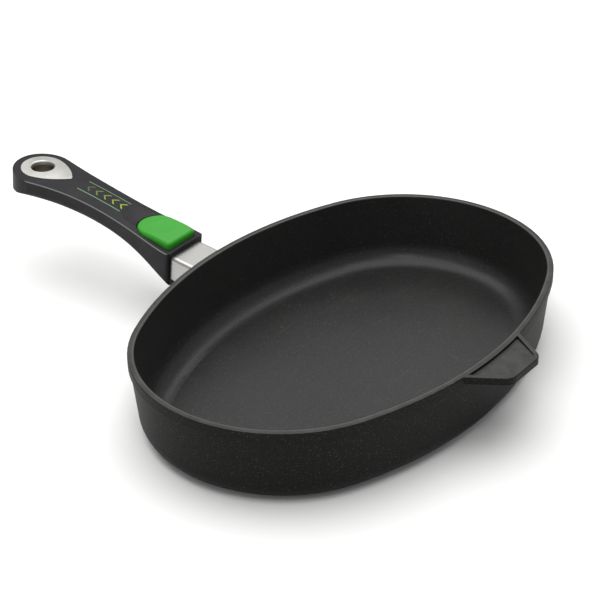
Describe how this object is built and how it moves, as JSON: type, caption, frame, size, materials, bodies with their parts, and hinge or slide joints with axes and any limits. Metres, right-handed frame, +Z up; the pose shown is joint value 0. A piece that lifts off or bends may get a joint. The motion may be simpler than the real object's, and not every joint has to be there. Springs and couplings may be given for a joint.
{
  "type": "oval fish pan with detachable handle",
  "caption": "Oval cast fish pan with a helper lug, a sheet-steel bracket, and a slide-off handle with a rocking release button and a hanging eye.",
  "frame": {"origin": "centre of the pan's base, on the surface it stands on", "axes": "+X along the pan's long side, +Y from the pan towards the handle, +Z up"},
  "size_m": [0.35, 0.4553, 0.0803],
  "materials": {
    "nonstick_casting": "satin non-stick coating, fine speckle",
    "satin_steel": "satin",
    "screw_steel": "plain",
    "handle_thermoset": "matt moulded thermoset",
    "cover_thermoset": "matt moulded thermoset",
    "insert_brass": "turned",
    "button_green": "satin moulded plastic",
    "spring_steel": "plain"
  },
  "bodies": {
    "pan": {"pan_body": "nonstick_casting", "handle_bracket": "satin_steel", "bracket_screws": "screw_steel", "lock_washers": "screw_steel"},
    "handle": {"handle_shell": "handle_thermoset", "handle_cover": "cover_thermoset", "cover_screws": "screw_steel", "thread_inserts": "insert_brass", "hinge_pin": "screw_steel", "latch_leaf": "spring_steel", "leaf_screws": "screw_steel", "button_springs": "spring_steel", "eyelet_plate": "satin_steel", "eyelet_ring": "satin_steel"},
    "button": {"release_button": "button_green"}
  },
  "joints": [
    {"name": "handle_slide", "type": "slide", "parent": "pan", "child": "handle", "axis": [0, 0.9945, 0.1045], "range_m": [0, 0.06], "deforming": ["latch_leaf"]},
    {"name": "button_rock", "type": "hinge", "parent": "handle", "child": "button", "pos_m": [0, 0.17138, 0.05892], "axis": [-1, 0, 0], "range_deg": [0, 9], "stiffness_Nm_per_rad": 0.2, "springref_deg": -5.73, "deforming": ["latch_leaf", "button_springs"]}
  ]
}
